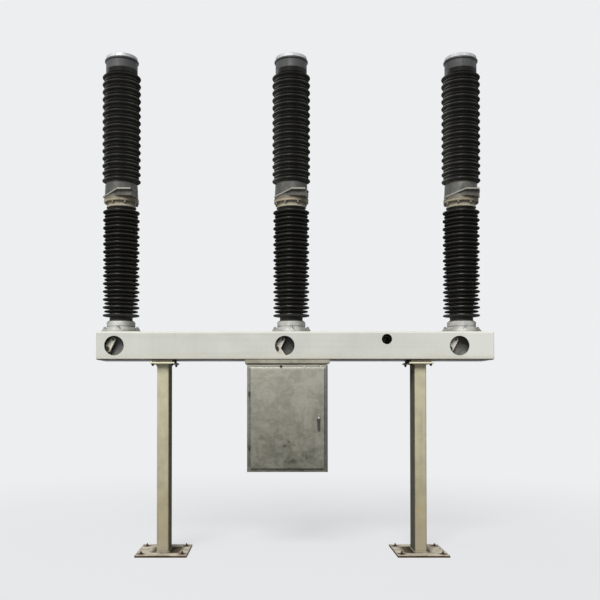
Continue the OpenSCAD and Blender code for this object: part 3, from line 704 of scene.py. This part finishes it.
shaft_washer, nut_seat, shaft_nut = (0.0225, 0.003), 0.0026, (0.030, 0.010, 0.2)
eye_ways, eye_sink, eye_washer = ((0.060, 0.090), (0.068, -0.075)), 0.005, (0.0095, 0.002)
pin = [(0, 0), (0.0062, 0), (0.0062, 0.005), (0.005, 0.0065), (0, 0.0065)]
for joint in frame["joints"]:
    if not joint["name"].startswith("crank"):
        continue
    side = joint["name"].split("_")[1]
    face_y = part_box(f"crank_{side}")[0].y
    eye_y = face_y + eye_sink
    at = Vector(joint["pos_m"])
    bm = bmesh.new()
    washer(bm, (at.x, face_y, at.z), FRONT, *shaft_washer)
    hexagon(bm, (at.x, face_y - nut_seat, at.z), FRONT, *shaft_nut)
    for dx, dz in eye_ways[:2 if side == "middle" else 1]:
        washer(bm, (at.x + dx, eye_y, at.z + dz), FRONT, *eye_washer)
        turned(bm, (at.x + dx, eye_y - eye_washer[1], at.z + dz), FRONT, pin)
    piece(f"crank_pins_{side}", bm, dark_steel, f"crank_{side}_body")


# Base flanges
# Cast aluminium feet of the poles: a round foot with bolt bosses on the beam, and a coned
# hub below the collar in which the support porcelain is cemented. The sides are painted
# darker as painted shade.
def across_pole(x, middle, right):
    """How far right of the axis of its own pole a place lies, from two poles' boxes."""
    low, high = middle
    half_pitch = (right[0].x - low.x) / 2
    sockets = {0: minus(x, (low.x + high.x) / 2), 1: half_pitch, 2: -half_pitch}
    return put(x.id_data, "Math", sockets, operation="WRAP").outputs[0]


def bolt_ring(bm, box, radius, z, count, start, axis, sizes):
    """Bolts evenly round the axis of a turned piece, at one height."""
    mid = (box[0] + box[1]) / 2
    for i in range(count):
        a = math.tau * (i + start) / count
        at = (mid.x + radius * math.cos(a), mid.y + radius * math.sin(a), z)
        bolt(bm, at, axis, *sizes, turn=a)


aluminium, tree, surface = finish_of("cast_aluminium", Metallic=0.25)
cast = use(tree, cast_surface, Light=(0.61, 0.615, 0.595), Dull=(0.41, 0.41, 0.39),
           Grain_Scale=240.0)
edge, dirt = wear_of(tree, (0.006, 16.0), (0.045, 22.0))
colour = weathered(cast["Colour"], edge, (0.4, (0.72, 0.72, 0.70)),
                   dirt, (0.55, (0.12, 0.11, 0.095)))
across = across_pole(here(tree)[1]["X"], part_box("base_flange_middle"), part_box("base_flange_right"))
# Painted shade: both sides of the flange are painted darker, the right side more.
shaded_right_side, shaded_left_side = fade(across, 0.02, 0.14), fade(across, -0.06, -0.14)
colour = tint(shaded_right_side, colour, (0.55, 0.55, 0.53), "MULTIPLY")
colour = tint(shaded_left_side, colour, (0.76, 0.76, 0.74), "MULTIPLY")
cover(surface, colour, cast, 0.4, 0.001, edge)
dress(aluminium, *trio("base_flange"))

flange_foot_t, flange_boss_h, boss_circle, bosses = 0.024, 0.016, 0.163, 4
flange_bolt = (0.024, 0.0185, 0.005)
for side in SIDES:
    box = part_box(f"base_flange_{side}")
    boss_z = box[0].z + flange_foot_t + flange_boss_h
    bm = bmesh.new()
    bolt_ring(bm, box, boss_circle, boss_z, bosses, 0, UP, flange_bolt)
    piece(f"base_flange_bolts_{side}", bm, zinc, "stand")


# Porcelain
# Brown glazed porcelain with a large and a small weather shed in turn, fired in one
# piece and cemented into its flanges. The glaze is smooth, with dust on top and less gloss
# on the right. The shed rims carry a painted highlight and the small rims painted shade;
# the hollows, the undersides and both flanks are painted lighter as painted light.
def by_part(rise, chamber_z, on_support, on_chamber):
    """One value on the supports and another on the interrupters above them."""
    return fade(rise, chamber_z - 0.01, chamber_z, on_support, on_chamber)


porcelain, tree, surface = finish_of("brown_glaze", IOR=1.08, Coat_Roughness=0.26)
spot, place = here(tree)
rise = place["Z"]
chamber_low, chamber_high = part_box("interrupter_middle")
chamber_r, small_shed_r, collar_h = (chamber_high.x - chamber_low.x) / 2, 0.176, 0.072
recess_edge, recess_r = 0.165, 0.150
chamber_z, collar_z = chamber_low.z, chamber_high.z - collar_h
collar = (collar_z - 0.004, collar_z)
across = across_pole(place["X"], (chamber_low, chamber_high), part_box("interrupter_right"))
out = length(put(tree, "CombineXYZ", {0: across, 1: place["Y"]}).outputs[0])
round_place = calc("DIVIDE", across, chamber_r)
thick = noise(spot, 14.0, 4.0)
upward = facing(tree)["Z"]
dust = times(fade(upward, 0.55, 0.98), fade(noise(spot, 26.0, 5.0), 0.3, 0.7))
rims = use(tree, edge_turn, Radius=0.006, Break_Scale=30.0)
thin_tone, thick_tone = (0.0110, 0.0108, 0.0096), (0.0165, 0.0158, 0.0140)
colour = tint(fade(thick, 0.35, 0.65), thin_tone, thick_tone)
# Painted highlight on the shed rims.
colour = tint(times(rims["Mask"], 0.35), colour, (0.032, 0.029, 0.025))
colour = tint(times(dust, 0.35), colour, (0.06, 0.053, 0.043))
# Painted shade: the rims of the small sheds are painted darker.
small_rim_shade = times(fade(out, small_shed_r - 0.018, small_shed_r - 0.013),
                  fade(out, small_shed_r + 0.003, small_shed_r), fade(upward, -0.3, 0.0))
colour = tint(small_rim_shade, colour, (0.45, 0.45, 0.45), "MULTIPLY")
# Painted light: the hollows between the sheds and the undersides are painted lighter.
colour = tint(fade(out, recess_edge, recess_r, 0.0, 0.8), colour, (0.067, 0.066, 0.061))
colour = tint(fade(upward, -0.15, -0.7), colour, (0.109, 0.108, 0.099))
# Painted light: the right flank is painted lighter, more on the interrupters.
painted_light_right = times(fade(round_place, 0.2, 0.85), by_part(rise, chamber_z, 0.3, 0.7))
colour = tint(painted_light_right, colour, (0.135, 0.136, 0.121))
colour = tint(fade(rise, *collar), colour, (0.52, 0.52, 0.54), "MULTIPLY")
# Painted light: the left flank, where it is seen side on, is painted much lighter.
side_on = put(tree, "LayerWeight", {"Blend": 0.5}).outputs["Facing"]
painted_light_left = times(fade(round_place, -0.45, -0.95), fade(side_on, 0.2, 0.6),
                 by_part(rise, chamber_z, 0.0, 0.8))
colour = tint(painted_light_left, colour, (0.30, 0.30, 0.28))
rough = plus(fade(upward, -0.5, 0.0, 0.8, 0.4), times(dust, 0.2))
gloss = times(fade(upward, -0.40, -0.05), fade(side_on, 0.75, 0.45),
              fade(dust, 0.0, 0.6, 0.75, 0.3), fade(rise, *collar, 1.0, 0.12),
              fade(round_place, -0.25, 0.15, 1.0, 0.3),
              fade(out, small_shed_r, small_shed_r + 0.003, 0.2, 1.0),
              by_part(rise, chamber_z, 0.75, 1.0))
tree.links.new(gloss, surface.inputs["Coat Weight"])
cover(surface, colour, dict(Roughness=rough, Height=noise(spot, 45.0, 2.0)), 0.12, 0.002)
dress(porcelain, *trio("support_insulator"), *trio("interrupter"))

# Cement joints
# A ring of grey sealed cement closes each gap between porcelain and flange, at the
# foot and the head of the support and at the foot of the interrupter.
cement, tree, surface = finish_of("sealed_cement", Roughness=0.8, specular=0.2)
cast = use(tree, cast_surface, Light=(0.15, 0.14, 0.125), Dull=(0.07, 0.065, 0.055),
           Grain_Scale=190.0)
cover(surface, cast["Colour"], dict(Height=cast["Height"]), 0.5, 0.0012)
support_core, head_core, chamber_core = 0.114, 0.114 + 0.005, 0.148
foot_gap, head_gap, chamber_gap = 0.018, 0.014, 0.006
for side in SIDES:
    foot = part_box(f"support_insulator_{side}")
    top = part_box(f"interrupter_{side}")
    mid = (foot[0] + foot[1]) / 2
    bm = bmesh.new()
    rings = ((foot[0].z, UP, support_core, foot_gap), (foot[1].z, DOWN, head_core, head_gap),
             (top[0].z, UP, chamber_core, chamber_gap))
    for z, way, core, wide in rings:
        rim, hidden = core + wide, core - 0.004
        profile = [(hidden, -0.002), (rim, -0.002), (rim, 0.002), (core + wide * 0.5, 0.008),
                   (core + 0.001, 0.012), (hidden, 0.012), (hidden, -0.002)]
        turned(bm, (mid.x, mid.y, z), way, profile, 64)
    piece(f"cement_joints_{side}", bm, cement, "stand")

# Support heads
# Cast flanges cemented on the support porcelain, painted cream and browned by weather,
# with a ring of studs and nuts below the rim that carries the interrupter.
head_finish, tree, surface = finish_of("weathered_flange_paint", specular=0.35)
paint = use(tree, aged_paint, Paint=(0.39, 0.345, 0.25), Stain=(0.11, 0.085, 0.055),
            Stain_Amount=0.7, Cloud_Scale=9.0, Streak_Amount=0.6, Gloss_Loss=0.5)
edge, dirt = wear_of(tree, (0.005, 14.0), (0.04, 20.0))
place = here(tree)[1]
across = across_pole(place["X"], (chamber_low, chamber_high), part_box("interrupter_right"))
head_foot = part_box("support_head_middle")[0].z
neck = times(fade(place["Z"], head_foot + 0.050, head_foot + 0.044),
             fade(across, -0.06, 0.06, 0.25, 0.7))
colour = tint(neck, paint["Colour"], (0.45, 0.435, 0.365))
colour = weathered(colour, edge, (0.55, (0.58, 0.53, 0.42)), dirt, (0.5, (0.06, 0.048, 0.032)))
cover(surface, colour, paint, 0.4, 0.001, edge)
dress(head_finish, *trio("support_head"))

head_neck, head_circle, head_bolts = 0.048, 0.1575, 8
head_bolt = (0.019, 0.0125, 0.004)
for side in SIDES:
    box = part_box(f"support_head_{side}")
    bm = bmesh.new()
    bolt_ring(bm, box, head_circle, box[0].z + head_neck, head_bolts, 0.5, DOWN, head_bolt)
    piece(f"head_bolts_{side}", bm, head_finish, "stand")

# Lower terminals
# Cast aluminium housings between the two porcelains, gone dull grey, each with a
# bracket in front whose lip takes the line clamp. The lip is painted pale as a painted
# highlight, the faces under it dark as painted shade, and faces turned down lighter as
# painted light.
terminal_finish, tree, surface = finish_of("dull_aluminium", specular=0.45, Metallic=0.2)
cast = use(tree, cast_surface, Light=(0.105, 0.106, 0.096), Dull=(0.062, 0.062, 0.056),
           Grain_Scale=200.0)
edge, dirt = wear_of(tree, (0.005, 9.0), (0.04, 18.0))
place = here(tree)[1]
upward = facing(tree)["Z"]
across = across_pole(place["X"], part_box("lower_terminal_middle"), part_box("lower_terminal_right"))
lip_corner, lip_slant = Vector((-0.002, -0.222)), Vector((-0.655, -0.755))
housing_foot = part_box("lower_terminal_left")[0].z
lip_foot, lip_left = housing_foot + 0.024, 0.1715
lip_rise, lip_run, lip_t = 0.050, 0.1695, 0.014
past_front = minus(lip_corner.y, place["Y"])
past_left = plus(times(across, lip_slant.x), times(place["Y"], lip_slant.y))
past_left = minus(past_left, lip_corner.dot(lip_slant))
lip_z = plus(times(across, lip_rise / lip_run), lip_foot + lip_left * lip_rise / lip_run)
over = minus(place["Z"], lip_z)
on_slope = times(fade(over, -0.002, 0.0), fade(over, lip_t + 0.003, lip_t + 0.001),
                 fade(past_left, -0.010, -0.006))
lip = most(fade(past_front, -0.010, -0.006), on_slope)
# Painted light and shade: the lip is painted pale as a highlight, the faces under it dark as shade,
# and faces turned down lighter.
painted_lip_highlight = times(lip, fade(upward, -0.5, -0.2), 0.8)
shade_under_lip = fade(place["Y"], -0.172, -0.186, 0.0, 0.6)
brown_foot = fade(place["Z"], housing_foot + 0.040, housing_foot + 0.012, 0.0, 0.65)
painted_light_below = fade(upward, -0.5, -0.9, 0.0, 0.8)
colour = tint(brown_foot, cast["Colour"], (0.20, 0.165, 0.115))
colour = tint(shade_under_lip, colour, (0.048, 0.042, 0.034))
colour = tint(painted_light_below, colour, (0.30, 0.285, 0.245))
colour = tint(painted_lip_highlight, colour, (0.36, 0.35, 0.31))
colour = weathered(colour, edge, (0.5, (0.62, 0.61, 0.56)), dirt, (0.45, (0.05, 0.042, 0.030)))
cover(surface, colour, cast, 0.4, 0.001, edge)
dress(terminal_finish, *trio("lower_terminal"))

# Top caps
# Grey painted caps that close the interrupters, with a lip round the top and small
# screws on the lip.
cap_finish, tree, surface = finish_of("cap_paint", specular=0.35)
paint = use(tree, aged_paint, Paint=(0.074, 0.076, 0.077), Stain=(0.038, 0.038, 0.036),
            Stain_Amount=0.6, Cloud_Scale=8.0, Streak_Amount=0.6, Gloss_Loss=0.45)
edge, dirt = wear_of(tree, (0.004, 20.0), (0.03, 20.0))
colour = weathered(paint["Colour"], edge, (0.3, (0.30, 0.31, 0.31)),
                   dirt, (0.7, (0.02, 0.019, 0.018)))
cover(surface, colour, paint, 0.4, 0.001, edge)
dress(cap_finish, *trio("top_cap"))

cap_screws, cap_circle, cap_screw = 8, 0.1605, (0.008, 0.0045)
for side in SIDES:
    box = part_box(f"top_cap_{side}")
    bm = bmesh.new()
    bolt_ring(bm, box, cap_circle, box[1].z, cap_screws, 0.25, UP, cap_screw)
    piece(f"cap_screws_{side}", bm, zinc, "stand")

# Upper terminals
# Machined aluminium discs on the caps, with tapped holes for the line connection; the
# metal is bright, with light oxide over it.
disc_finish, tree, surface = finish_of("machined_aluminium", Metallic=0.35)
cast = use(tree, cast_surface, Light=(0.66, 0.67, 0.68), Dull=(0.44, 0.45, 0.46),
           Grain_Scale=300.0)
edge = use(tree, edge_turn, Radius=0.004, Break_Scale=20.0)
cover(surface, cast["Colour"], cast, 0.25, 0.0006, edge)
dress(disc_finish, *trio("upper_terminal"))

# Cabinet hood
# A flat painted hood hangs the cabinet under the beam and keeps the rain off its roof;
# it is bolted to the bottom plate of the beam.
hood_finish, tree, surface = finish_of("hood_paint", specular=0.35)
paint = use(tree, aged_paint, Paint=(0.39, 0.376, 0.308), Stain=(0.15, 0.142, 0.095),
            Stain_Amount=0.9, Cloud_Scale=7.0, Streak_Amount=0.3, Gloss_Loss=0.5)
edge, dirt = wear_of(tree, (0.004, 20.0), (0.05, 16.0))
colour = weathered(paint["Colour"], edge, (0.5, (0.62, 0.60, 0.53)),
                   dirt, (0.8, (0.035, 0.03, 0.022)))
cover(surface, colour, paint, 0.35, 0.001, edge)
dress(hood_finish, "cabinet_hood")

# Cabinet
# Folded stainless sheet, hung from the hood, dull and clouded by weather and wiping, with
# a front frame round the door opening.
steel_cloud, given, made = group_of(
    "steel_cloud",
    [("Light", "Color", (0.4, 0.4, 0.35, 1)), ("Dark", "Color", (0.2, 0.2, 0.17, 1)),
     ("Wipe Scale", "Float", 3.0)],
    coat_sockets)
tree = steel_cloud
spot = spot_on(tree)
bent = put(tree, "TexNoise", {"Vector": spot, "Scale": 2.2, "Detail": 3.0}).outputs[1]
sway = stretched(bent, (0.45, 0.45, 0.45))
bent = put(tree, "VectorMath", {0: spot, 1: sway}, operation="ADD").outputs[0]
wipes = noise(stretched(bent, (1.0, 1.0, 1.7)), given["Wipe Scale"], 7.0, 0.62)
brush = noise(stretched(spot, (380, 380, 9)), 1.0, 2.0)
smears = noise(bent, 17.0, 6.0, 0.6)
fine = noise(bent, 46.0, 5.0, 0.65)
cloud = plus(times(wipes, 0.45), times(smears, 0.32), times(fine, 0.18), times(brush, 0.06))
rubs = calc("ABSOLUTE", minus(noise(bent, 7.0, 3.0, 0.5), 0.5))
rubs = times(fade(rubs, 0.022, 0.004), fade(smears, 0.42, 0.60, 0.0, 0.6))
cloud = most(fade(cloud, 0.41, 0.61), rubs)
hand_out(made, Colour=tint(cloud, given["Dark"], given["Light"]),
         Roughness=fade(cloud, 0.0, 1.0, 0.62, 0.40),
         Height=plus(brush, times(wipes, 0.6)))


def sheet_finish(name, light, dark, marks=(), strips=()):
    """Dull stainless sheet, darker towards the ground, with grime in its corners and hand marks."""
    material, tree, surface = finish_of(name, specular=0.45, Metallic=0.5)
    steel = use(tree, steel_cloud, Light=light, Dark=dark, Wipe_Scale=4.5)
    edge, dirt = wear_of(tree, (0.004, 12.0), (0.03, 16.0))
    low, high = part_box("cabinet_frame")
    spot, place = here(tree)
    drift = times(noise(spot, 3.0, 4.0), 0.5)
    dull = fade(plus(place["Z"], drift), high.z + 0.25, low.z + 0.2)
    even = tuple((a + b) / 2 for a, b in zip(light, dark))
    colour = tint(fade(dull, 0.5, 0.0, 0.0, 0.25), steel["Colour"], even)
    grime = fade(noise(spot, 13.0, 6.0, 0.62), 0.38, 0.62)
    grime = tint(grime, (0.35, 0.352, 0.328), (0.56, 0.562, 0.535))
    colour = tint(dull, colour, grime, "MULTIPLY")
    for x, z, wide, tall in marks:
        off = {0: minus(place["X"], x), 2: minus(place["Z"], z)}
        off = put(tree, "CombineXYZ", off).outputs[0]
        off = length(stretched(off, (1 / wide, 1, 1 / tall)))
        off = plus(off, times(noise(spot, 38.0, 5.0), 1.3))
        colour = tint(fade(off, 1.5, 0.75, 0.0, 0.75), colour, (0.03, 0.03, 0.026))
    for axis, start, end, tone, share in strips:
        strip = fade(place[axis], start, end, 0.0, share)
        colour = tint(times(strip, fade(drift, 0.12, 0.24)), colour, tone)
    colour = weathered(colour, edge, (0.45, (0.62, 0.61, 0.56)),
                       dirt, (0.85, (0.03, 0.028, 0.022)))
    cover(surface, colour, steel, 0.12, 0.0012, edge)
    return material


body_steel = sheet_finish("stainless_body", (0.24, 0.236, 0.205), (0.165, 0.16, 0.135))
door_marks = ((-0.105, 1.067, 0.035, 0.028), (-0.06, 1.11, 0.022, 0.02),
              (0.107, 0.955, 0.018, 0.045), (-0.03, 0.92, 0.10, 0.05))
door_steel = sheet_finish("stainless_door", (0.36, 0.352, 0.30), (0.225, 0.22, 0.182), door_marks)
door_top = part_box("cabinet_door")[1].z
frame_low, frame_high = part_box("cabinet_frame")
# The frame's top strip is painted lighter, and its right edge is painted dark as painted shade.
frame_strips = (("Z", door_top - 0.001, door_top + 0.004, (0.30, 0.288, 0.250), 0.85),
                ("X", frame_high.x - 0.018, frame_high.x - 0.012, (0.06, 0.066, 0.07), 0.8))
frame_steel = sheet_finish(
    "stainless_frame", (0.27, 0.265, 0.23), (0.18, 0.175, 0.15), (), frame_strips)
dress(body_steel, "cabinet_back", "cabinet_side_left", "cabinet_side_right", "cabinet_floor")
dress(frame_steel, "cabinet_frame")
dress(door_steel, "cabinet_door")

# Rain strip
# A thin bright stainless angle along the top of the door opening keeps water off the
# door's edge; it is riveted to the frame.
bright = mottled(
    "bright_steel", 90.0, 4.0, 0.7, ((0.64, 0.63, 0.59), (0.52, 0.51, 0.47)),
    (0.26, 0.45), (0.15, 0.0005), Metallic=0.3)
strip_low, strip_high = door_top + 0.001, door_top + 0.0085
strip_left, strip_right = frame_low.x + 0.030, frame_high.x - 0.032
face_y = frame_low.y
profile = ((face_y + 0.0005, strip_low + 0.001), (face_y - 0.013, strip_low),
           (face_y - 0.0135, strip_low + 0.003), (face_y - 0.0025, strip_high - 0.003),
           (face_y - 0.0012, strip_high), (face_y + 0.0005, strip_high))
bm = bmesh.new()
ends = [[bm.verts.new((x, y, z)) for y, z in profile] for x in (strip_left, strip_right)]
for i in range(len(profile)):
    j = (i + 1) % len(profile)
    bm.faces.new((ends[0][i], ends[0][j], ends[1][j], ends[1][i]))
bm.faces.new(ends[0])
bm.faces.new(ends[1][::-1])
piece("rain_strip", bm, bright, "stand")

# Cabinet screws
# One rusted steel bolt and two bright domed screws in the top strip of the frame; they
# go through the frame and hold the roof sheet.
strip_z = (frame_high.z + strip_high) / 2
roof_screw_ways, roof_bolt_way, roof_bolt = (0.553, 0.715), 0.329, (0.017, 0.013, 0.006)
dome = [(0, 0), (0.0085, 0), (0.008, 0.002), (0.006, 0.004), (0.003, 0.005), (0, 0.005)]
bm = bmesh.new()
for way in roof_screw_ways:
    turned(bm, (frame_low.x + way, face_y, strip_z), FRONT, dome)
piece("roof_screws", bm, bright, "stand")
bm = bmesh.new()
bolt(bm, (frame_low.x + roof_bolt_way, face_y, strip_z), FRONT, *roof_bolt, turn=0.4)
piece("roof_bolt", bm, rusty_steel, "stand")

# Door seal
# A black rubber profile glued to the back of the door, all round its edge, that closes
# the gap to the frame; it has chalked a little.
rubber = mottled(
    "black_rubber", 40.0, 5.0, 0.7, ((0.016, 0.016, 0.015), (0.04, 0.038, 0.034)),
    (0.6, 0.85), (0.2, 0.0006), specular=0.3)
sheet_low, sheet_high = Vector((-0.4325, 0.8485)), Vector((0.2825, 1.8135))
seal_inset, seal_wide, seal_front, seal_back = 0.006, 0.009, -0.2502, -0.2462
sections = ((0, seal_front), (0, seal_back), (seal_wide, seal_back), (seal_wide, seal_front))
bm = bmesh.new()
loops = []
for wide, y in sections:
    left, right = sheet_low.x + seal_inset + wide, sheet_high.x - seal_inset - wide
    foot, top = sheet_low.y + seal_inset + wide, sheet_high.y - seal_inset - wide
    corners = ((left, foot), (right, foot), (right, top), (left, top))
    loops.append([bm.verts.new((x, y, z)) for x, z in corners])
for a, b in zip(loops, loops[1:] + loops[:1]):
    for i in range(4):
        bm.faces.new((a[i], a[(i + 1) % 4], b[(i + 1) % 4], b[i]))
piece("door_seal", bm, rubber, "door")

# Hinges
# Lift-off hinges of dark steel, turned and welded on: a knuckle on the frame, one on
# the door, and a pin between them.
hinge_finish, tree, surface = finish_of("hinge_steel", Metallic=0.6, specular=0.45)
steel = use(tree, steel_cloud, Light=(0.13, 0.125, 0.105), Dark=(0.05, 0.047, 0.04),
            Wipe_Scale=20.0)
edge = use(tree, edge_turn, Radius=0.002, Break_Scale=50.0)
colour = tint(edge["Mask"], steel["Colour"], (0.22, 0.21, 0.18))
cover(surface, colour, steel, 0.2, 0.0008, edge)
dress(hinge_finish, "cabinet_hinges")

# Door handle
# A slim black painted swing handle, cast in one piece, on a shaft through the door, with
# a bright lock barrel pressed into its boss.
handle_finish, tree, surface = finish_of("black_handle", specular=0.4)
wear = noise(spot_on(tree), 55.0, 5.0)
edge = use(tree, edge_turn, Radius=0.003, Break_Scale=60.0)
colour = tint(fade(wear, 0.35, 0.7), (0.022, 0.021, 0.019), (0.05, 0.048, 0.042))
colour = tint(times(edge["Mask"], 0.6), colour, (0.13, 0.125, 0.11))
rough = fade(wear, 0.3, 0.7, 0.38, 0.6)
cover(surface, colour, dict(Roughness=rough, Height=wear), 0.2, 0.0006, edge)
dress(handle_finish, "door_handle")

pivot = next(Vector(joint["pos_m"]) for joint in frame["joints"] if joint["name"] == "handle_turn")
barrel_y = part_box("door_handle")[0].y + 0.001
barrel = [(0, 0), (0.0105, 0), (0.0105, 0.003), (0.0095, 0.0042), (0.0060, 0.0044),
          (0.0056, 0.0036), (0, 0.0036)]
bm = bmesh.new()
turned(bm, (pivot.x, barrel_y, pivot.z), FRONT, barrel, 32)
piece("lock_barrel", bm, bright, "handle")
